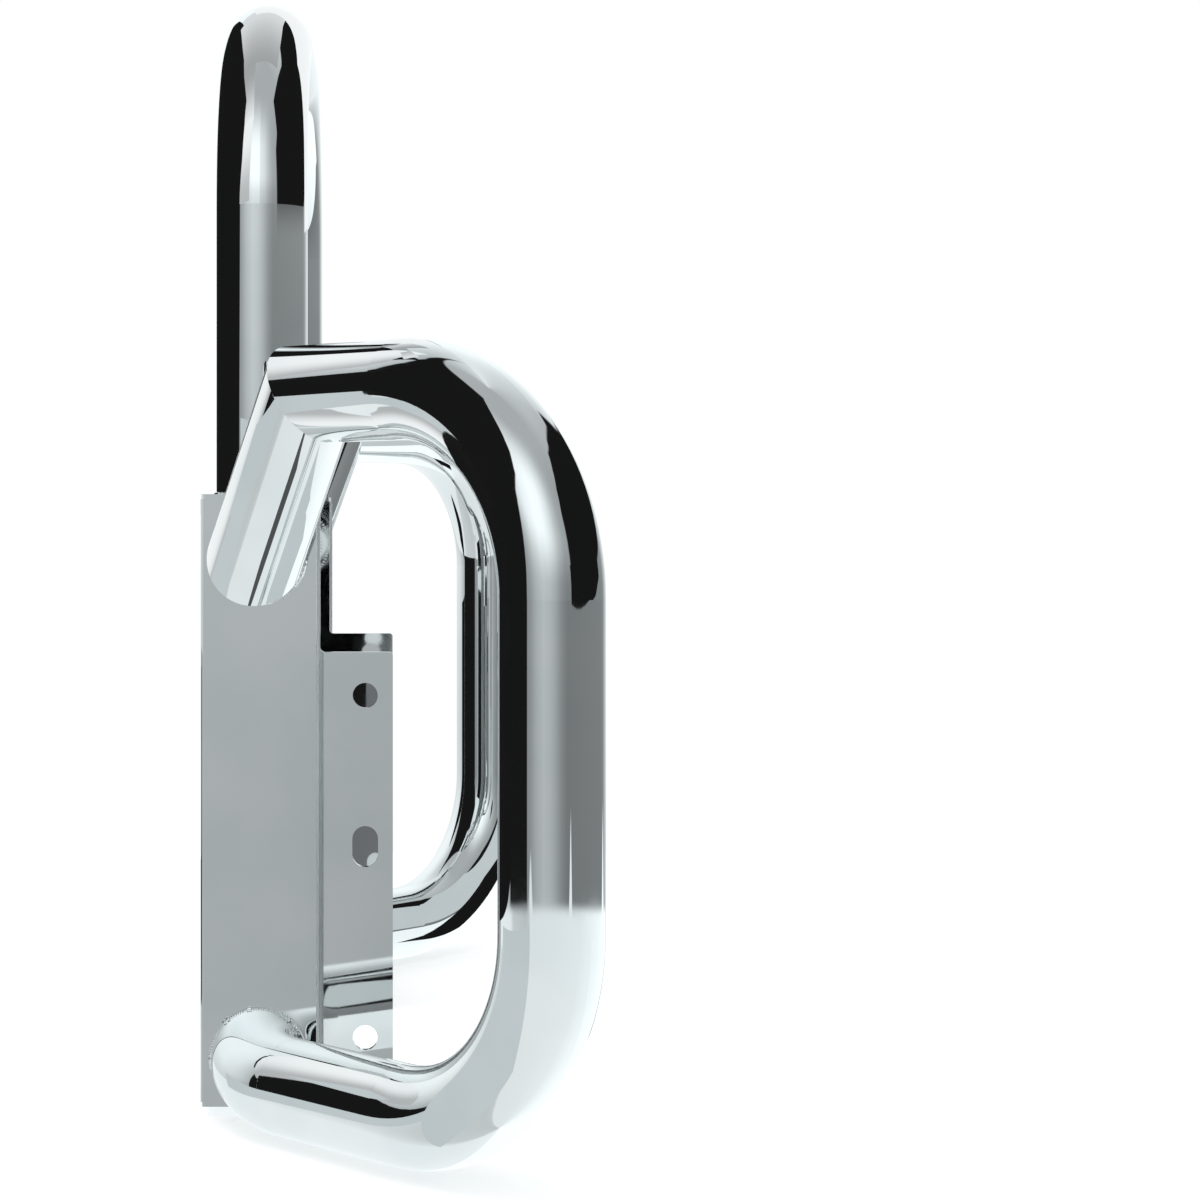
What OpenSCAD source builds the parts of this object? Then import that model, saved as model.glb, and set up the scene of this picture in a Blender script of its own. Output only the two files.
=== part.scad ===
// Tubular grille guard for a heavy truck: two formed uprights with mounting
// legs, a centre hoop, a cross tube and a mitred wing loop on each side.
// Front of the vehicle is -X, up is +Z, the left side is -Y.
// Origin: middle of the left mounting leg's hole pattern, on its outboard face.

/* [Tubes] */
// Outside diameter of every tube
tube_d = 76.2; // [60:0.1:90]
// Wall of every tube
tube_wall = 3; // [2:0.5:5]

/* [Uprights] */
// Front-to-back depth of the formed channel
upright_depth = 94; // [92:1:120]
// Width of the channel across its two legs
upright_width = 122; // [110:1:150]
// Height of an upright from bottom cap to top cap
upright_height = 496; // [460:1:560]
// Clear distance between the two uprights
upright_gap = 336; // [300:1:420]
// Thickness of the channel's sheet
sheet_t = 6; // [4:0.5:8]
// Outside radius of the channel's two front corners
corner_r = 2.5; // [1.5:0.5:6]
// Thickness of the welded top and bottom caps
cap_t = 4; // [3:0.5:8]
// Clearance between the cap's rim and the channel's outline
cap_set_back = 1; // [0.5:0.5:3]

/* [Mounting legs] */
// Reach of the mounting leg behind the channel
leg_reach = 62; // [50:1:90]
// Height of channel left bare above the mounting leg
leg_drop = 134; // [110:1:180]
// Radius of the inside corner where the leg leaves the channel
leg_notch_r = 4; // [2:0.5:10]
// Radius of the leg's two outer corners
leg_corner_r = 3; // [1:0.5:8]
// Diameter of the two round bolt holes
hole_d = 21.4; // [16:0.1:24]
// Distance between the two round holes
hole_pitch = 292; // [270:1:300]
// Distance from the leg's rear edge to the hole line
hole_inset = 23.6; // [16:0.1:30]
// Distance from the leg's bottom edge to the lower round hole
hole_rise = 33; // [20:1:40]
// Width of the adjusting slot
slot_w = 22; // [16:0.5:24]
// Length of the adjusting slot
slot_l = 35; // [28:1:60]
// Distance from the upper round hole down to the slot's centre
slot_drop = 129; // [80:1:160]

/* [Centre hoop] */
// Height of the hoop above the uprights
hoop_rise = 434; // [300:1:520]
// Centre-line radius of the hoop's two bends
hoop_bend_r = 158; // [120:1:180]

/* [Cross tube] */
// Distance from the top of the uprights down to the cross tube's axis
cross_drop = 50; // [44:1:140]

/* [Wings] */
// Angle that each wing sweeps out from the side of the vehicle
wing_sweep = 47; // [40:1:55]
// Distance from the upright's outer face to the wing's inner corners
foot_len = 42; // [40:1:60]
// Distance from the top of the uprights down to the upper foot's axis
upper_foot_drop = 50; // [48:1:80]
// Height between the upper and lower feet
foot_pitch = 405; // [370:1:410]
// Length of the wing from its feet to its outer tube
wing_reach = 323; // [300:1:380]
// Distance that the slanted arm climbs
arm_rise = 127; // [100:1:160]
// Distance that the slanted arm leans outward
arm_lean = 64.5; // [50:0.5:90]
// Drop of the bent lower foot from the upright to the lower run
lower_foot_dip = 9; // [0:1:14]
// Centre-line radius of the wing's two bends
wing_bend_r = 152.4; // [115:0.1:170]

/* [Hidden] */
$fn = 96;

chrome = "#c8ced2";
plate_chrome = "#b4babd";

// Through cuts run this far past both faces
past = 1;
bore_d = tube_d - 2 * tube_wall;
// Spare length on a tube before its end is mitred
end_stock = tube_d;

// Places along X, measured from the hole line
leg_rear_x = hole_inset;
channel_rear_x = leg_rear_x - leg_reach;
channel_front_x = channel_rear_x - upright_depth;
tube_line_x = channel_front_x + upright_depth / 2;

// Places along Z, measured from the middle of the hole pattern
upright_bottom_z = -hole_pitch / 2 - hole_rise;
upright_top_z = upright_bottom_z + upright_height;
channel_bottom_z = upright_bottom_z + cap_t;
channel_top_z = upright_top_z - cap_t;
leg_top_z = upright_top_z - leg_drop;

// Places along Y, measured from the guard's centre plane
inner_face_y = upright_gap / 2;
leg_face_y = inner_face_y + sheet_t;
outer_face_y = inner_face_y + upright_width;
hoop_leg_y = (inner_face_y + outer_face_y) / 2;

// Height of the axis of the hoop's top tube
hoop_top_z = upright_top_z + hoop_rise - tube_d / 2;

// The lower foot's bend turns from square on the upright to the wing's plane,
// in a plane of its own that is tilted about the lower run
foot_turn = 90 - wing_sweep;
foot_side = foot_len * sin(foot_turn);
foot_tilt = atan(lower_foot_dip / foot_side);
foot_bend_r = foot_side / ((1 - cos(foot_turn)) * cos(foot_tilt));
run_start = foot_bend_r * sin(foot_turn) - foot_len * cos(foot_turn);
// Spare turn on the bend where the upright's face trims it, and past a cut end
foot_spare_turn = 25;
past_turn = 1;

// Corners of a wing's centre line, in the wing's own upright plane
upper_foot_z = upright_top_z - upper_foot_drop;
lower_foot_z = upper_foot_z - foot_pitch;
arm_foot = [0, upper_foot_z];
arm_head = [arm_lean, upper_foot_z + arm_rise];
top_corner = [wing_reach, arm_head[1]];
run_end = [run_start, lower_foot_z - lower_foot_dip];
bottom_corner = [wing_reach, run_end[1]];
foot_face = [tube_line_x, -outer_face_y, lower_foot_z];

// A point of the wing's plane as a point in space, on the left side
function in_space(p) = [tube_line_x + p[0] * cos(wing_sweep),
                        -outer_face_y - foot_len - p[0] * sin(wing_sweep),
                        p[1]];
function unit(v) = v / norm(v);
function between(a, b, f) = a + (b - a) * f;

// Centre-line point moved back along a run, so that a cut end has stock
function before(a, b, d) = a - unit(b - a) * d;

// Corners of the loop's centre line, with stock beyond its mitred head and its tail
function loop_corners(head_stock, tail_stock) =
    [before(arm_head, top_corner, head_stock), top_corner,
     bottom_corner, before(run_end, bottom_corner, tail_stock)];

// Turns +Z onto direction v
module aim(v)
    rotate([0, acos(v[2] / norm(v)), atan2(v[1], v[0])])
        children();

// Block that trims a tube's end to a flat face at p, on the side that n points to
module end_cut(p, n) {
    span = 3 * tube_d;
    translate(p)
        aim(n)
            translate([-span / 2, -span / 2, 0])
                cube(span);
}

// Straight rod from a to b
module rod(a, b, d)
    translate(a)
        aim(b - a)
            cylinder(h = norm(b - a), d = d);

// One bend of a rod in the XY plane, from heading h through turn
module rod_bend(start, h, turn, r, d) {
    side = sign(turn);
    centre = start + side * r * [-sin(h), cos(h)];
    first = side > 0 ? h - 90 : h + 90 + turn;
    translate(concat(centre, 0))
        rotate(first)
            rotate_extrude(angle = abs(turn))
                translate([r, 0])
                    circle(d = d);
}

// Rod along a flat path in the XY plane, bent at every inner corner
module rod_path(corners, r, d) {
    last = len(corners) - 1;
    heading = [for (i = [0 : last - 1])
        atan2(corners[i + 1][1] - corners[i][1], corners[i + 1][0] - corners[i][0])];
    turn = [for (i = [1 : last - 1])
        let (t = heading[i] - heading[i - 1])
        t > 180 ? t - 360 : t < -180 ? t + 360 : t];
    trim = [for (t = turn) r * tan(abs(t) / 2)];
    for (i = [0 : last - 1]) {
        along = unit(corners[i + 1] - corners[i]);
        from = corners[i] + along * (i == 0 ? 0 : trim[i - 1]);
        to = corners[i + 1] - along * (i == last - 1 ? 0 : trim[i]);
        rod(concat(from, 0), concat(to, 0), d);
        if (i < last - 1)
            rod_bend(to, heading[i], turn[i], r, d);
    }
}

// Straight tube between a and b whose ends are cut by two flat faces
module cut_tube(a, b, end_a, end_b) {
    difference() {
        rod(before(a, b, end_stock), before(b, a, end_stock), tube_d);
        rod(before(a, b, end_stock + past), before(b, a, end_stock + past), bore_d);
        end_cut(a, end_a);
        end_cut(b, end_b);
    }
}

// Normal of the mitre between a tube arriving at p and one leaving it
function mitre(from, p, to) = unit(unit(p - from) + unit(to - p));

/* Uprights */

// Rectangle from X = 0, centred on Y, with its two front corners rounded
module front_rounded(length, width, r) {
    for (side = [-1, 1])
        translate([r, side * (width / 2 - r)])
            circle(r = r);
    translate([0, -width / 2 + r])
        square([length, width - 2 * r]);
    translate([r, -width / 2])
        square([length - r, width]);
}

// Channel section: a front web and two sides, open at the back
module channel_section() {
    difference() {
        front_rounded(upright_depth, upright_width, corner_r);
        translate([sheet_t, -upright_width / 2 + sheet_t])
            square([upright_depth, upright_width - 2 * sheet_t]);
    }
}

// Side outline of the mounting leg, drawn in X and Z
module leg_outline() {
    bottom = channel_bottom_z;
    difference() {
        union() {
            translate([channel_rear_x, bottom])
                square([leg_reach - leg_corner_r, leg_top_z - bottom]);
            translate([channel_rear_x, bottom + leg_corner_r])
                square([leg_reach, leg_top_z - bottom - 2 * leg_corner_r]);
            for (z = [bottom + leg_corner_r, leg_top_z - leg_corner_r])
                translate([leg_rear_x - leg_corner_r, z])
                    circle(r = leg_corner_r);
            translate([channel_rear_x, leg_top_z])
                square(leg_notch_r);
        }
        translate([channel_rear_x + leg_notch_r, leg_top_z + leg_notch_r])
            circle(r = leg_notch_r);
        for (side = [-1, 1])
            translate([0, side * hole_pitch / 2])
                circle(d = hole_d);
        translate([0, hole_pitch / 2 - slot_drop])
            slot_outline();
    }
}

module slot_outline() {
    half = (slot_l - slot_w) / 2;
    for (side = [-1, 1])
        translate([0, side * half])
            circle(d = slot_w);
    square([slot_w, 2 * half], center = true);
}

// Channel with its mounting leg, which carries on from the channel's inner side
module upright() {
    color(plate_chrome) {
        translate([channel_front_x, -hoop_leg_y, channel_bottom_z])
            linear_extrude(channel_top_z - channel_bottom_z)
                channel_section();
        translate([0, -inner_face_y, 0])
            rotate([90, 0, 0])
                linear_extrude(sheet_t)
                    leg_outline();
    }
}

// Flat cap that closes one end of a channel
module cap(z) {
    color(plate_chrome)
        translate([channel_front_x, -hoop_leg_y, z])
            linear_extrude(cap_t)
                translate([cap_set_back, 0])
                    front_rounded(upright_depth - 2 * cap_set_back,
                                  upright_width - 2 * cap_set_back, corner_r);
}

/* Hoop and cross tube */

module centre_hoop() {
    corners = [[-hoop_leg_y, upright_top_z], [-hoop_leg_y, hoop_top_z],
               [hoop_leg_y, hoop_top_z], [hoop_leg_y, upright_top_z]];
    color(chrome)
        translate([tube_line_x, 0, 0])
            rotate([90, 0, 90])
                difference() {
                    rod_path(corners, hoop_bend_r, tube_d);
                    rod_path(corners, hoop_bend_r, bore_d);
                }
}

module cross_tube() {
    z = upright_top_z - cross_drop;
    a = [tube_line_x, -inner_face_y, z];
    b = [tube_line_x, inner_face_y, z];
    color(chrome)
        difference() {
            rod(a, b, tube_d);
            rod(before(a, b, past), before(b, a, past), bore_d);
        }
}

/* Wings */

// Lays a path drawn in the wing's plane out in space, on the left side
module in_wing_plane()
    translate(in_space([0, 0]))
        rotate(-wing_sweep)
            rotate([90, 0, 0])
                children();

// Upper run, outer tube and lower run, bent from one length of tube
module wing_loop() {
    head = in_space(arm_head);
    color(chrome)
        difference() {
            in_wing_plane()
                rod_path(loop_corners(end_stock, 0), wing_bend_r, tube_d);
            in_wing_plane()
                rod_path(loop_corners(end_stock + past, past), wing_bend_r, bore_d);
            end_cut(head, -mitre(in_space(arm_foot), head, in_space(top_corner)));
        }
}

// Slanted arm from the upper foot to the upper run
module wing_arm() {
    foot = in_space(arm_foot);
    head = in_space(arm_head);
    plate = [foot[0], -outer_face_y, foot[2]];
    color(chrome)
        cut_tube(foot, head,
                 -mitre(plate, foot, head),
                 mitre(foot, head, in_space(top_corner)));
}

// Short foot that stands square on the upright and carries the arm
module upper_foot() {
    corner = in_space(arm_foot);
    plate = [corner[0], -outer_face_y, corner[2]];
    color(chrome)
        cut_tube(plate, corner, [0, 1, 0], mitre(plate, corner, in_space(arm_head)));
}

// Part of the lower foot's bend as a rod, from one turn to another off the lower run
module foot_rod(from, to, d) {
    translate(in_space(run_end))
        rotate(-wing_sweep)
            rotate([foot_tilt, 0, 0])
                translate([0, foot_bend_r, 0])
                    rotate(-90 - to)
                        rotate_extrude(angle = to - from)
                            translate([foot_bend_r, 0])
                                circle(d = d);
}

// Bent foot that leaves the upright and runs into the loop's lower run
module lower_foot() {
    last = foot_turn + foot_spare_turn;
    color(chrome)
        difference() {
            foot_rod(0, last, tube_d);
            foot_rod(-past_turn, last + past_turn, bore_d);
            end_cut(foot_face, [0, 1, 0]);
        }
}

// Moves the centre plane so that the left leg's outboard face lies at Y = 0
module datum()
    translate([0, leg_face_y, 0])
        children();

module on_right()
    mirror([0, 1, 0])
        children();

module left_upright() datum() upright();
module left_top_cap() datum() cap(channel_top_z);
module left_bottom_cap() datum() cap(upright_bottom_z);
module right_upright() datum() on_right() upright();
module right_top_cap() datum() on_right() cap(channel_top_z);
module right_bottom_cap() datum() on_right() cap(upright_bottom_z);
module left_wing_loop() datum() wing_loop();
module left_wing_arm() datum() wing_arm();
module left_upper_foot() datum() upper_foot();
module left_lower_foot() datum() lower_foot();
module right_wing_loop() datum() on_right() wing_loop();
module right_wing_arm() datum() on_right() wing_arm();
module right_upper_foot() datum() on_right() upper_foot();
module right_lower_foot() datum() on_right() lower_foot();

left_upright();
left_top_cap();
left_bottom_cap();
right_upright();
right_top_cap();
right_bottom_cap();
datum() centre_hoop();
datum() cross_tube();
left_wing_loop();
left_wing_arm();
left_upper_foot();
left_lower_foot();
right_wing_loop();
right_wing_arm();
right_upper_foot();
right_lower_foot();
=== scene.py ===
"""Looks and studio for a chrome tubular grille guard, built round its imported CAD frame.

The guard's front is -X, its left side is -Y and +Z is up. Lengths are in metres.
"""

import math

import bmesh
import bpy
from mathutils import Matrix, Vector


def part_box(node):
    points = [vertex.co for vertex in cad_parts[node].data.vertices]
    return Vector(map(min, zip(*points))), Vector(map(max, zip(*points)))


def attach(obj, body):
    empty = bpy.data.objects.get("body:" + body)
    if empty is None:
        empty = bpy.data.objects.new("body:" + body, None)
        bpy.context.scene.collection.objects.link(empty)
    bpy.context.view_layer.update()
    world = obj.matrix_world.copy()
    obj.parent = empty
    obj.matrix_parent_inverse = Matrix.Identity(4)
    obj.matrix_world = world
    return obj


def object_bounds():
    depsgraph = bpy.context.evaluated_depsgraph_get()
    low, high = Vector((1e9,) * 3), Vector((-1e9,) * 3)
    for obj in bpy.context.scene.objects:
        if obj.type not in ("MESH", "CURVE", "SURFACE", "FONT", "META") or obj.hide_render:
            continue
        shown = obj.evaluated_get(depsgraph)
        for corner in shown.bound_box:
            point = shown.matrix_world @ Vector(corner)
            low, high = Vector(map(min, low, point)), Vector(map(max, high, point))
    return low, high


# Which number of a point, and which corner of a box.
X, Y, Z = range(3)
LOW, HIGH = range(2)

# The camera looks square at the left side, a little above the middle of the uprights.
CAMERA_PLACE = (0.0222, -2.236, 0.303)
CAMERA_LENS = 78.6
CAMERA_SENSOR = 36.0
CAMERA_SHIFT = (0.174, -0.0738)

# Chrome: its two tints, and for each finish its roughness and the width of its waves.
CHROME_COLOUR = (0.80, 0.83, 0.835)
CHROME_TINT = (0.86, 0.875, 0.875)
TUBE_FINISH = (0.03, 0.05)
PLATE_FINISH = (0.035, 0.09)
WELD_FINISH = (0.2, 0.02)

# The noise under the tint and under the smears: its scale and detail, with its roughness
# for the smears, and the levels between which it goes from none to all. SMEAR_RANGE is
# the least and the most roughness, as a share of the finish's.
TINT_NOISE = (9.0, 3.0)
TINT_LEVELS = (0.35, 0.65)
SMEAR_NOISE = (26.0, 6.0, 0.65)
SMEAR_LEVELS = (0.35, 0.75)
SMEAR_RANGE = (0.6, 1.5)
WAVE_HEIGHT = 0.00001
WAVE_DETAIL = 2.0

# Weld beads: their radius and sides, the pitch of their ripples, the depth of these as a
# share of the radius, and the points along each. A tube's vertex is on the joint within
# RIM_GAP of its plane, and the rim keeps one vertex in each of RIM_STEPS steps round.
BEAD_RADIUS = 0.0023
BEAD_SIDES = 9
RIPPLE_PITCH = 0.0046
RIPPLE_DEPTH = 0.02
RIPPLE_STEPS = 6
RIM_GAP = 0.0003
RIM_STEPS = 360

# The sheet parts: thickness, the caps' broken edges, the bow of the lower end as height =
# BOW * (distance below BOW_START_Z) squared, and inside the channels the roughness and
# how softly it starts.
SHEET = 0.006
EDGE_BREAK = 0.0011
EDGE_SEGMENTS = 3
BOW = 0.12
BOW_START_Z = 0.03
DULL_ROUGHNESS = 0.45
DULL_SOFT = 0.0004

# Linear colours: of plain light, of the flags and of the cards.
WHITE = (1.0, 1.0, 1.0)
NO_LIGHT = (0.0, 0.0, 0.0)
BLACK = (0.0095, 0.0095, 0.0095)
CARD_WHITE = (1.0, 1.02, 1.03)
CARD_GREY = (0.60, 0.655, 0.67)
# Painted reflection of the near leg's inside, for the far leg to mirror.
LEG_REFLECTION_GREY = (0.165, 0.17, 0.175)
# Painted reflection of a thin line along the arm.
REFLECTED_LINE_GREY = (0.09, 0.093, 0.095)

# The studio that the chrome reflects. Azimuth is in degrees from -Y, the camera's side,
# and grows towards +X. Each layer of the room is a list of (azimuth, linear brightness),
# in the colour COOL at brightness 1.
COOL = (0.955, 1.01, 1.025)
LOW_ROOM = (
    (-180, 1.00), (-156, 0.97), (-100, 0.94), (-92, 0.70), (-60, 0.62), (-52, 0.66),
    (-50, 0.87), (0, 0.89), (60, 0.95), (130, 1.20), (180, 1.15),
)
WALL_FOOT = (
    (-180, 1.00), (-133, 0.98), (-120, 0.85), (-110, 0.70), (-101, 0.50), (-60, 0.33),
    (-50, 0.38), (-36, 0.56), (-20, 0.68), (-6, 0.62), (4, 0.52), (18, 0.34), (30, 0.26),
    (126, 0.29), (137, 0.34), (152, 0.72), (170, 0.95),
)
WALL = (
    (-180, 1.05), (-133, 1.05), (-120, 0.95), (-110, 0.72), (-101, 0.50), (-60, 0.60),
    (-50, 0.74), (-36, 1.05), (-20, 1.20), (-6, 1.15), (6, 0.92), (18, 0.62), (30, 0.44),
    (45, 0.38), (125, 0.46), (150, 0.82), (170, 1.10),
)
CEILING = (
    (-180, 0.80), (-120, 0.50), (-40, 0.46), (60, 0.46), (120, 0.60), (144, 0.74),
    (170, 0.90),
)

# The elevations between which the foot of the wall brightens, with its brightness at
# them, and between which the foot turns into the wall and the wall into the ceiling.
FOOT_DIM = (-8.0, 8.0, 0.78, 1.0)
FOOT_TO_WALL = (3.0, 22.0)
WALL_TO_CEILING = (32.0, 66.0)

# The two black flags. The left one lies over LEFT_HEEL, as (azimuth, elevation), up to the
# elevation LEFT_TOP, and before LEFT_END, as (elevation, azimuth). The right one lies over
# the elevation RIGHT_FOOT, under RIGHT_TOP, as (azimuth, elevation), and from the azimuth
# RIGHT_START to RIGHT_END, as (elevation, azimuth).
LEFT_HEEL = (
    (-180, 69), (-150, 66.5), (-135, 64), (-120, 60), (-110, 53), (-105, 46), (-102.5, 30),
    (-101.5, -30), (180, -30),
)
LEFT_TOP = 68.5
LEFT_END = (
    (-90, -58), (0, -56.5), (15, -50), (22, -46), (30, -38), (41, -34), (50, -36),
    (60, -42), (68, -48), (90, -60),
)
RIGHT_FOOT = 6.7
RIGHT_TOP = (
    (-180, 26), (38, 26), (40, 30), (48, 41), (60, 48), (74, 53), (90, 52), (98, 51.8),
    (104, 50.5), (112, 49), (118, 47.5), (122, 44), (132, 38), (180, 33),
)
RIGHT_START = 41.0
RIGHT_END = (
    (-90, 118), (4, 120), (6.5, 130), (9, 150), (12, 164), (17, 156), (24, 148), (34, 141),
    (90, 136),
)
# The walls' lower edge, as (azimuth, elevation), with the low part of the room under it.
WALL_END = (
    (-180, -8.6), (-53, -8.6), (-48.5, -7.3), (-44, -8.6), (34.5, -8.6), (37.6, -6.3),
    (40.7, -8.6), (131, -8.6), (136.5, -6.3), (142, -8.6), (180, -8.6),
)
# Half the width of the edges' blur: of the flags, of the right one's sides, of the walls.
FLAG_SOFT = 0.8
SIDE_SOFT = 1.6
WALL_SOFT = 0.15

# How a card's brightness changes over one axis: (axis, start, end, brightness at them).
SCREEN_FADE = (X, -0.55, -0.20, 0.53, 1.0)
HOOP_FADE = (Z, 0.58, 0.72, 0.55, 0.98)
ROOF_FRONT_FADE = (Y, -0.24, -0.06, 1.0, 0.41)
ROOF_BACK_FADE = (Y, -0.06, 0.10, 0.40, 0.78)

# The floor, with its own glow for the camera, and the world's light and the lamp on it.
FLOOR_HALF = 1.35
FLOOR_GAP = 0.002
FLOOR_COLOUR = (0.86, 0.88, 0.88)
FLOOR_GLOW = 0.35
WORLD_LIGHT = (0.9, 0.9, 0.9)
LAMP_PLACE = (-0.3, -0.4, 2.2)
LAMP_AIM = (0.0, 0.17, 0.0)
LAMP_SIZE = 1.6
LAMP_POWER = 12.0


class Nodes:
    """Adds shader nodes to one tree and joins them on the way."""

    def __init__(self, tree):
        self.tree = tree
        tree.nodes.clear()

    def set(self, socket, value):
        """Joins an output to the socket, or writes a plain value on it."""
        if isinstance(value, bpy.types.NodeSocket):
            self.tree.links.new(value, socket)
        elif isinstance(value, tuple) and len(value) == 3 and socket.type == "RGBA":
            socket.default_value = (*value, 1.0)
        else:
            socket.default_value = value

    def add(self, kind, inputs=None, **settings):
        """Adds one node, with its settings and its inputs by name or number."""
        node = self.tree.nodes.new(kind)
        for name, value in settings.items():
            setattr(node, name, value)
        for name, value in (inputs or {}).items():
            self.set(node.inputs[name], value)
        return node

    def show(self, shader, output="ShaderNodeOutputMaterial"):
        """Makes a shader node the surface of the material or the world."""
        self.add(output, {"Surface": shader.outputs[0]})

    def math(self, operation, first, second=0.0):
        """The result of one sum."""
        node = self.add("ShaderNodeMath", {0: first, 1: second}, operation=operation)
        return node.outputs[0]

    def axes(self, vector):
        """The x, y and z of a vector."""
        return self.add("ShaderNodeSeparateXYZ", {0: vector}).outputs

    def noise(self, place, scale, detail, roughness=0.5):
        """Soft noise between 0 and 1."""
        node = self.add(
            "ShaderNodeTexNoise",
            {"Vector": place, "Scale": scale, "Detail": detail, "Roughness": roughness},
        )
        return node.outputs["Fac"]

    def ramp(self, value, start, end, low=0.0, high=1.0, shape="SMOOTHSTEP"):
        """Goes from low to high as value goes from start to end."""
        node = self.add(
            "ShaderNodeMapRange",
            {
                "Value": value,
                "From Min": start,
                "From Max": end,
                "To Min": low,
                "To Max": high,
            },
            interpolation_type=shape,
        )
        return node.outputs["Result"]

    def mix(self, factor, first, second):
        """Two colours mixed. The numbers are the Mix node's own colour sockets."""
        node = self.add("ShaderNodeMix", data_type="RGBA", clamp_result=False)
        self.set(node.inputs[0], factor)
        self.set(node.inputs[6], first)
        self.set(node.inputs[7], second)
        return node.outputs[2]

    def above(self, value, limit, soft):
        """1 where value is over limit, with an edge 2 * soft wide."""
        over = self.math("SUBTRACT", value, limit)
        return self.ramp(over, -soft, soft)

    def all_of(self, *masks):
        """1 where all of the masks are 1."""
        product = masks[0]
        for mask in masks[1:]:
            product = self.math("MULTIPLY", product, mask)
        return product

    def table(self, value, start, end, stops, colour=WHITE):
        """The level that the stops give for a value between start and end."""
        place = self.ramp(value, start, end, shape="LINEAR")
        node = self.add("ShaderNodeValToRGB", {"Fac": place})
        elements = node.color_ramp.elements
        while len(elements) < len(stops):
            elements.new(0.5)
        for element, (at, level) in zip(elements, stops):
            element.position = (at - start) / (end - start)
            element.color = (*(level * part for part in colour), 1.0)
        return node.outputs["Color"]

    def turn_table(self, azimuth, stops):
        """A colour for each azimuth, from (azimuth, brightness) stops."""
        return self.table(azimuth, -180.0, 180.0, stops, COOL)

    def edge_table(self, value, reach, stops):
        """Degrees for each value between -reach and reach, from (value, degrees) stops."""
        shifted = tuple((at, (level + 180.0) / 360.0) for at, level in stops)
        share = self.table(value, -reach, reach, shifted)
        return self.math("SUBTRACT", self.math("MULTIPLY", share, 360.0), 180.0)


def new_material(name):
    """A material with an empty tree, and the tree's Nodes."""
    material = bpy.data.materials.new(name)
    material.use_nodes = True
    return material, Nodes(material.node_tree)


def add_object(name, data):
    """An object with the given data, in the scene."""
    thing = bpy.data.objects.new(name, data)
    bpy.context.collection.objects.link(thing)
    return thing


def add_polygon(name, corners, material):
    """An object that is one flat polygon."""
    mesh = bpy.data.meshes.new(name)
    mesh.from_pydata(corners, [], [tuple(range(len(corners)))])
    mesh.materials.append(material)
    return add_object(name, mesh)


def sheet_bow(nodes, place):
    """Height that bows a sheet part's lower end outward a little."""
    height = nodes.axes(place)[Z]
    below = nodes.math("MAXIMUM", nodes.math("SUBTRACT", BOW_START_Z, height), 0.0)
    return nodes.math("MULTIPLY", nodes.math("MULTIPLY", below, below), BOW)


def channel_inside(nodes, place):
    """1 on the faces inside the two channels, which are hardly polished."""
    web_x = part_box("left_upright")[LOW][X] + SHEET
    rear_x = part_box("left_top_cap")[HIGH][X]
    middle_y = sum(corner[Y] for corner in cad_box) / 2
    outer = middle_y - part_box("left_upright")[LOW][Y] - SHEET
    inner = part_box("cross_tube")[HIGH][Y] - middle_y + SHEET
    x, y, _ = nodes.axes(place)
    off_middle = nodes.math("ABSOLUTE", nodes.math("SUBTRACT", y, middle_y))
    return nodes.all_of(
        nodes.above(x, web_x - DULL_SOFT, DULL_SOFT),
        nodes.above(rear_x, x, DULL_SOFT),
        nodes.above(off_middle, inner - 2 * DULL_SOFT, DULL_SOFT),
        nodes.above(outer + 2 * DULL_SOFT, off_middle, DULL_SOFT),
    )


def chrome_material(name, finish, sheet=False):
    """Polished chrome with a faint tint change, smears in its gloss and a slight wave.

    On a sheet part its lower end also bows, and it is dull inside the channels.
    """
    roughness, wave_width = finish
    material, nodes = new_material(name)
    place = nodes.add("ShaderNodeTexCoord").outputs["Object"]

    tint = nodes.noise(place, *TINT_NOISE)
    colour = nodes.mix(nodes.ramp(tint, *TINT_LEVELS), CHROME_COLOUR, CHROME_TINT)

    smear = nodes.noise(place, *SMEAR_NOISE)
    least, most = (roughness * share for share in SMEAR_RANGE)
    gloss = nodes.ramp(smear, *SMEAR_LEVELS, least, most)

    waves = nodes.noise(place, 1.0 / wave_width, WAVE_DETAIL)
    bump = nodes.add(
        "ShaderNodeBump", {"Strength": 1.0, "Distance": WAVE_HEIGHT, "Height": waves}
    ).outputs["Normal"]
    if sheet:
        bump = nodes.add(
            "ShaderNodeBump",
            {"Distance": 1.0, "Height": sheet_bow(nodes, place), "Normal": bump},
        ).outputs["Normal"]
        inside = channel_inside(nodes, place)
        gloss = nodes.ramp(inside, 0.0, 1.0, gloss, DULL_ROUGHNESS, "LINEAR")

    nodes.show(nodes.add(
        "ShaderNodeBsdfPrincipled",
        {"Base Color": colour, "Metallic": 1.0, "Roughness": gloss, "Normal": bump},
    ))
    return material


def finish_nodes(tube_chrome, plate_chrome):
    """Gives every CAD node its chrome, and the caps their broken edges."""
    for name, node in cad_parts.items():
        flat = "upright" in name or "cap" in name
        chrome = plate_chrome if flat else tube_chrome
        if not node.data.materials:
            node.data.materials.append(chrome)
        for index in range(len(node.data.materials)):
            node.data.materials[index] = chrome
        if "cap" in name:
            edge = node.modifiers.new("edge", "BEVEL")
            edge.width = EDGE_BREAK
            edge.segments = EDGE_SEGMENTS
            edge.harden_normals = True


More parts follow.
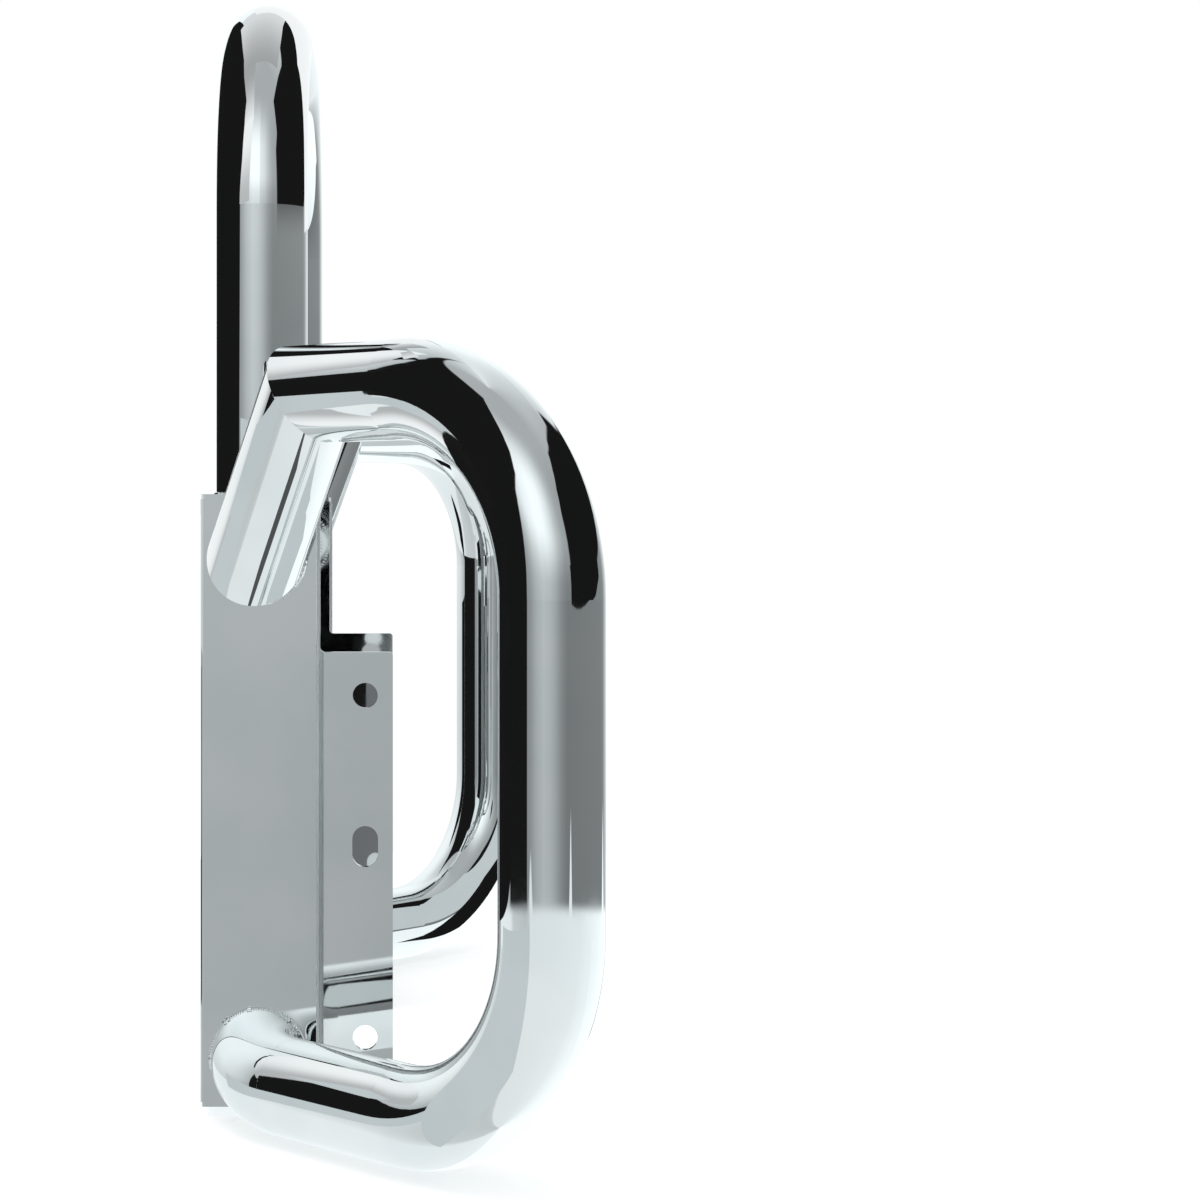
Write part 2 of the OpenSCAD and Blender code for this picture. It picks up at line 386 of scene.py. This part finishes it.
def rim(name, axis, value, near=None):
    """The outer edge of a node's end in the plane axis = value, in order, and its centre.

    near is a box: only points over its span in Y are taken, for a node with two ends.
    """
    points = [
        Vector(v.co)
        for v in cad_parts[name].data.vertices
        if abs(v.co[axis] - value) < RIM_GAP
        and (near is None or near[LOW][Y] < v.co[Y] < near[HIGH][Y])
    ]
    centre = sum(points, Vector()) / len(points)
    across, along = [i for i in range(3) if i != axis]
    farthest = {}
    for point in points:
        offset = point - centre
        turn = round(math.atan2(offset[along], offset[across]) / math.tau * RIM_STEPS)
        turn %= RIM_STEPS
        if turn not in farthest or offset.length > (farthest[turn] - centre).length:
            farthest[turn] = point
    return [farthest[turn] for turn in sorted(farthest)], centre


def even_loop(points, pitch, steps):
    """The same closed line with even points: steps of them for about each pitch."""
    closed = points + [points[0]]
    lengths = [0.0]
    for before, after in zip(closed, closed[1:]):
        lengths.append(lengths[-1] + (after - before).length)
    total = lengths[-1]
    count = round(total / pitch) * steps
    spread = []
    index = 0
    for step in range(count):
        target = total * step / count
        while lengths[index + 1] < target:
            index += 1
        span = lengths[index + 1] - lengths[index]
        part = (target - lengths[index]) / span if span else 0.0
        spread.append(closed[index].lerp(closed[index + 1], part))
    return spread


def weld_bead(name, node, axis, value, side, material, near=None):
    """A rippled fillet bead round the foot of a tube, where it stands on a flat face.

    side is +1 or -1: the way that the tube leaves the face along the axis.
    """
    outline, centre = rim(node, axis, value, near)
    out = Vector()
    out[axis] = side
    bm = bmesh.new()
    rows = []
    for index, point in enumerate(even_loop(outline, RIPPLE_PITCH, RIPPLE_STEPS)):
        phase = index % RIPPLE_STEPS / RIPPLE_STEPS
        radius = BEAD_RADIUS * (1.0 + RIPPLE_DEPTH * math.cos(math.tau * phase))
        away = point - centre
        away[axis] = 0.0
        away.normalize()
        row = []
        for j in range(BEAD_SIDES):
            turn = math.tau * j / BEAD_SIDES
            shift = away * math.cos(turn) + out * math.sin(turn)
            row.append(bm.verts.new(point + shift * radius))
        rows.append(row)
    for row, after in zip(rows, rows[1:] + rows[:1]):
        for j in range(BEAD_SIDES):
            k = (j + 1) % BEAD_SIDES
            bm.faces.new((row[j], row[k], after[k], after[j]))
    bmesh.ops.recalc_face_normals(bm, faces=bm.faces)
    mesh = bpy.data.meshes.new(name)
    bm.to_mesh(mesh)
    bm.free()
    for face in mesh.polygons:
        face.use_smooth = True
    mesh.materials.append(material)
    bead = add_object(name, mesh)
    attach(bead, "root")


def weld_beads(material):
    """Beads at the feet of both wings and of the hoop, and at the cross tube's ends."""
    for side, way, corner in (("left", -1, LOW), ("right", 1, HIGH)):
        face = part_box(f"{side}_upright")[corner][Y]
        for foot in ("upper_foot", "lower_foot"):
            weld_bead(f"weld_{side}_{foot}", f"{side}_{foot}", Y, face, way, material)
        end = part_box("cross_tube")[corner][Y]
        weld_bead(f"weld_{side}_cross", "cross_tube", Y, end, -way, material)
        weld_bead(
            f"weld_{side}_hoop", "centre_hoop", Z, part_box("centre_hoop")[LOW][Z], 1,
            material, near=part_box(f"{side}_top_cap"),
        )


def stage_floor():
    """A pale floor just under the guard, white to the camera but for a soft shadow.

    The chrome doesn't see it: what it mirrors below comes from the world.
    """
    lowest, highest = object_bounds()
    z = lowest[Z] - FLOOR_GAP
    centre_x = (lowest[X] + highest[X]) / 2
    centre_y = (lowest[Y] + highest[Y]) / 2
    corners = [
        (centre_x + i * FLOOR_HALF, centre_y + j * FLOOR_HALF, z)
        for i, j in ((-1, -1), (1, -1), (1, 1), (-1, 1))
    ]
    material, nodes = new_material("floor_paper")
    paper = nodes.add("ShaderNodeBsdfDiffuse", {"Color": FLOOR_COLOUR})
    camera = nodes.add("ShaderNodeLightPath").outputs["Is Camera Ray"]
    strength = nodes.math("MULTIPLY", camera, FLOOR_GLOW)
    glow = nodes.add("ShaderNodeEmission", {"Color": WHITE, "Strength": strength})
    nodes.show(nodes.add("ShaderNodeAddShader", {0: paper.outputs[0], 1: glow.outputs[0]}))
    floor = add_polygon("floor", corners, material)
    floor.visible_glossy = False


def stage_card(name, corners, colour, fade=None):
    """A card that only the chrome sees, and only from its front."""
    material, nodes = new_material(name)
    level = 1.0
    if fade:
        axis, start, end, low, high = fade
        place = nodes.add("ShaderNodeTexCoord").outputs["Object"]
        level = nodes.ramp(nodes.axes(place)[axis], start, end, low, high)
    glow = nodes.add("ShaderNodeEmission", {"Color": colour, "Strength": level})
    clear = nodes.add("ShaderNodeBsdfTransparent", {"Color": WHITE})
    back = nodes.add("ShaderNodeNewGeometry").outputs["Backfacing"]
    nodes.show(nodes.add(
        "ShaderNodeMixShader", {0: back, 1: glow.outputs[0], 2: clear.outputs[0]}
    ))
    card = add_polygon(name, corners, material)
    card.visible_camera = False
    card.visible_diffuse = False
    card.visible_shadow = False


def rectangle(low, high):
    """The corners of a rectangle, from its lowest one up, across and down."""
    (left, bottom), (right, top) = low, high
    return [(left, bottom), (left, top), (right, top), (right, bottom)]


def facing_right(x, low, high):
    """Corners of an upright card whose front faces +X, between two (y, z) corners."""
    (low_y, low_z), (high_y, high_z) = low, high
    return [(x, low_y, low_z), (x, high_y, low_z), (x, high_y, high_z), (x, low_y, high_z)]


def facing_left(x, outline):
    """Corners of an upright card whose front faces -X, from (y, z) points.

    The points run round from the low corner of smallest y, up and then to larger y.
    """
    return [(x, y, z) for y, z in outline]


def facing_camera(y, outline):
    """Corners of an upright card whose front faces -Y, from (x, z) points.

    The points run anticlockwise as the camera sees them.
    """
    return [(x, y, z) for x, z in outline]


def facing_back(y, outline, turn=0.0):
    """Corners of an upright card whose front faces +Y, from (x, z) points.

    The points run clockwise as the camera sees them, and y changes by turn with x.
    """
    return [(x, y + turn * x, z) for x, z in outline]


def facing_down(z, outline):
    """Corners of a level card whose front faces down, from (x, y) points.

    The points run clockwise as seen from above.
    """
    return [(x, y, z) for x, y in outline]


def disc(x, z, radius, count=24):
    """The points of a circle, clockwise as the camera sees them."""
    turns = [-math.tau * step / count for step in range(count)]
    return [(x + radius * math.cos(a), z + radius * math.sin(a)) for a in turns]


def bounce_cards():
    """One-sided cards that change what single parts of the guard see of the room."""
    # White in front of the hoop's flag, for the wing.
    stage_card(
        "run_screen",
        facing_camera(-0.11, [
            (-0.75, 0.02), (-0.08, 0.02), (-0.08, 0.20), (-0.135, 0.29), (-0.135, 0.95),
            (-0.55, 0.95), (-0.55, 0.33), (-0.75, 0.33),
        ]),
        CARD_WHITE, SCREEN_FADE,
    )
    # Grey in front of the left flag, for the arm, the lower run and the lower bend.
    arm_outline = [(-0.16, 0.18), (-0.75, 0.18), (-0.75, 0.335), (-0.16, 0.335)]
    stage_card("arm_screen", facing_back(-0.254, arm_outline, turn=-0.14), CARD_GREY)
    for name, x, low, high in (
        ("arm_head_card", -0.2, (-0.29, 0.30), (-0.165, 0.384)),
        ("arm_foot_card", -0.6, (-0.24, 0.15), (-0.05, 0.30)),
        ("low_card", -0.6, (-0.45, -0.30), (0.2, -0.164)),
        ("bend_card", 0.03, (-0.50, -0.20), (-0.352, 0.0)),
    ):
        stage_card(name, facing_right(x, low, high), CARD_GREY)
    # Black beside the flags, for the hoop and for the wing's outer tube.
    stage_card(
        "hoop_left_flag",
        facing_camera(0.10, [
            (-1.0, 0.30), (-0.186, 0.30), (-0.186, 0.60), (-0.1515, 0.728), (-0.142, 0.739),
            (-0.131, 0.746), (-0.130, 0.76), (-0.1475, 0.80), (-0.187, 0.86),
            (-0.261, 0.97), (-0.445, 1.26), (-1.0, 2.16),
        ]),
        BLACK,
    )
    stage_card(
        "tube_flag",
        facing_camera(-0.30, [(-0.70, -0.05), (0.04, -0.002), (0.04, 0.32), (-0.70, 0.32)]),
        BLACK,
    )
    stage_card(
        "side_flag",
        facing_left(0.45, [
            (-0.80, 0.222), (-0.80, 0.36), (-0.25, 0.36), (-0.25, 0.275), (-0.33, 0.25),
            (-0.40, 0.235), (-0.463, 0.231), (-0.527, 0.2265), (-0.60, 0.223),
            (-0.67, 0.2215),
        ]),
        BLACK,
    )
    stage_card(
        "hoop_right_flag",
        facing_left(0.06, [
            (-0.205, 0.70), (-0.205, 0.936), (-0.084, 0.93), (-0.022, 0.912), (0.0, 0.93),
            (0.069, 1.02), (0.169, 1.05), (0.313, 1.10), (0.50, 1.15), (0.50, 0.70),
        ]),
        BLACK,
    )
    # Pale at the edges of the hoop's flags, where the wing's are wider.
    stage_card(
        "hoop_left_card",
        facing_back(-0.20, [
            (-0.262, 0.58), (-0.245, 0.68), (-0.252, 0.723), (-0.266, 0.80), (-0.155, 0.80),
            (-0.155, 0.58),
        ]),
        CARD_WHITE, HOOP_FADE,
    )
    stage_card(
        "hoop_right_card",
        facing_camera(0.05, [
            (-0.10, 0.55), (0.055, 0.55), (0.045, 0.70), (0.03, 0.757), (-0.10, 0.757),
        ]),
        CARD_WHITE,
    )
    # A ceiling close above the hoop, whose sides bound what it sees of its flags.
    stage_card(
        "roof_front",
        facing_down(0.80, [
            (-0.12, -0.053), (-0.135, -0.12), (-0.155, -0.20), (-0.266, -0.20),
            (-0.236, -0.165), (-0.201, -0.127), (-0.189, -0.053),
        ]),
        CARD_WHITE, ROOF_FRONT_FADE,
    )
    stage_card(
        "roof_back",
        facing_down(0.80, [
            (-0.020, -0.053), (-0.189, -0.053), (-0.174, -0.012), (-0.170, 0.025),
            (-0.164, 0.068), (-0.157, 0.13), (-0.045, 0.13), (-0.0417, 0.0667),
            (-0.0347, 0.034), (-0.0282, 0.0006),
        ]),
        CARD_WHITE, ROOF_BACK_FADE,
    )
    # Grey and black for the far wing, and grey for the back of the near one.
    stage_card(
        "far_card", facing_left(0.35, rectangle((0.50, -0.16), (0.72, 0.25))), CARD_GREY
    )
    stage_card(
        "far_tube_flag",
        facing_camera(0.85, [(-0.50, -0.10), (-0.15, -0.10), (-0.15, 0.19), (-0.50, 0.19)]),
        BLACK,
    )
    stage_card(
        "far_flag", facing_left(0.30, rectangle((0.66, -0.35), (0.95, -0.10))), BLACK
    )
    stage_card(
        "back_card", facing_left(0.20, rectangle((-0.32, -0.10), (-0.05, 0.12))), CARD_GREY
    )
    # Painted reflection of the near leg's inside, which the far leg mirrors through the
    # holes.
    stage_card(
        "painted_leg_reflection", facing_back(0.02, rectangle((-0.03, -0.12), (0.03, 0.13))), LEG_REFLECTION_GREY
    )
    stage_card(
        "painted_hole_reflection", facing_back(0.022, rectangle((-0.03, 0.08), (-0.0055, 0.13))), BLACK
    )
    stage_card("painted_slot_reflection", facing_back(0.022, disc(0.0045, -0.074, 0.0092)), CARD_GREY)
    # A grey card that the arm mirrors as a thin line along it: a painted reflection.
    start, end = Vector((-0.06, -0.39, 0.02)), Vector((-0.005, -0.435, 0.18))
    half = Vector((-0.0028, 0.1, 0.038))
    stage_card("arm_reflected_line", [start - half, end - half, end + half, start + half], REFLECTED_LINE_GREY)


def studio_world():
    """White to the camera; the chrome sees pale walls, a ceiling and two black flags."""
    world = bpy.data.worlds.new("studio")
    bpy.context.scene.world = world
    world.use_nodes = True
    world.cycles.sampling_method = "NONE"
    nodes = Nodes(world.node_tree)
    x, y, z = nodes.axes(nodes.add("ShaderNodeTexCoord").outputs["Generated"])
    ahead = nodes.math("MULTIPLY", y, -1.0)
    degrees = 180.0 / math.pi
    azimuth = nodes.math("MULTIPLY", nodes.math("ARCTAN2", x, ahead), degrees)
    elevation = nodes.math("MULTIPLY", nodes.math("ARCSINE", z), degrees)

    dim = nodes.ramp(elevation, *FOOT_DIM)
    foot = nodes.mix(dim, NO_LIGHT, nodes.turn_table(azimuth, WALL_FOOT))
    wall = nodes.turn_table(azimuth, WALL)
    ceiling = nodes.turn_table(azimuth, CEILING)
    room = nodes.mix(nodes.ramp(elevation, *FOOT_TO_WALL), foot, wall)
    room = nodes.mix(nodes.ramp(elevation, *WALL_TO_CEILING), room, ceiling)

    left_heel = nodes.edge_table(azimuth, 180.0, LEFT_HEEL)
    left_end = nodes.edge_table(elevation, 90.0, LEFT_END)
    left_flag = nodes.all_of(
        nodes.above(elevation, left_heel, FLAG_SOFT),
        nodes.above(left_end, azimuth, FLAG_SOFT),
        nodes.above(LEFT_TOP, elevation, FLAG_SOFT),
    )
    right_end = nodes.edge_table(elevation, 90.0, RIGHT_END)
    right_top = nodes.edge_table(azimuth, 180.0, RIGHT_TOP)
    right_flag = nodes.all_of(
        nodes.above(azimuth, RIGHT_START, SIDE_SOFT),
        nodes.above(right_end, azimuth, SIDE_SOFT),
        nodes.above(elevation, RIGHT_FOOT, FLAG_SOFT),
        nodes.above(right_top, elevation, FLAG_SOFT),
    )
    room = nodes.mix(nodes.math("MAXIMUM", left_flag, right_flag), room, BLACK)

    low_room = nodes.turn_table(azimuth, LOW_ROOM)
    wall_end = nodes.edge_table(azimuth, 180.0, WALL_END)
    colour = nodes.mix(nodes.above(elevation, wall_end, WALL_SOFT), low_room, room)

    path = nodes.add("ShaderNodeLightPath").outputs
    seen = nodes.mix(path["Is Glossy Ray"], WORLD_LIGHT, colour)
    seen = nodes.mix(path["Is Camera Ray"], seen, WHITE)
    background = nodes.add("ShaderNodeBackground", {"Color": seen, "Strength": 1.0})
    nodes.show(background, "ShaderNodeOutputWorld")


def studio_lamp():
    """One broad soft lamp overhead, for the shadow on the floor."""
    data = bpy.data.lights.new("overhead", "AREA")
    data.size = LAMP_SIZE
    data.energy = LAMP_POWER
    lamp = add_object("overhead", data)
    lamp.location = LAMP_PLACE
    aim = Vector(LAMP_AIM) - Vector(LAMP_PLACE)
    lamp.rotation_euler = aim.to_track_quat("-Z", "Y").to_euler()
    lamp.visible_glossy = False


def studio_camera():
    """The camera, square on to the left side, its frame shifted and not turned."""
    data = bpy.data.cameras.new("camera")
    data.sensor_width = CAMERA_SENSOR
    data.lens = CAMERA_LENS
    data.shift_x, data.shift_y = CAMERA_SHIFT
    camera = add_object("camera", data)
    camera.location = CAMERA_PLACE
    camera.rotation_euler = (math.radians(90.0), 0.0, 0.0)
    bpy.context.scene.camera = camera


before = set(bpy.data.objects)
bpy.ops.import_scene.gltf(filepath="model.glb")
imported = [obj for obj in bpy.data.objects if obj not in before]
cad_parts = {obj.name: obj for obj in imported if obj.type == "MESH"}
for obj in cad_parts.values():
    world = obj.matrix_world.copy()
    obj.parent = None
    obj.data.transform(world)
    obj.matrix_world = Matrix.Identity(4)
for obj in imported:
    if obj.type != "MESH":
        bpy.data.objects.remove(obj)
cad_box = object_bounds()

tube_chrome = chrome_material("tube_chrome", TUBE_FINISH)
plate_chrome = chrome_material("plate_chrome", PLATE_FINISH, sheet=True)
finish_nodes(tube_chrome, plate_chrome)
weld_beads(chrome_material("weld_chrome", WELD_FINISH))

stage_floor()
bounce_cards()
studio_world()
studio_lamp()
studio_camera()
bpy.context.scene.view_settings.view_transform = "Standard"
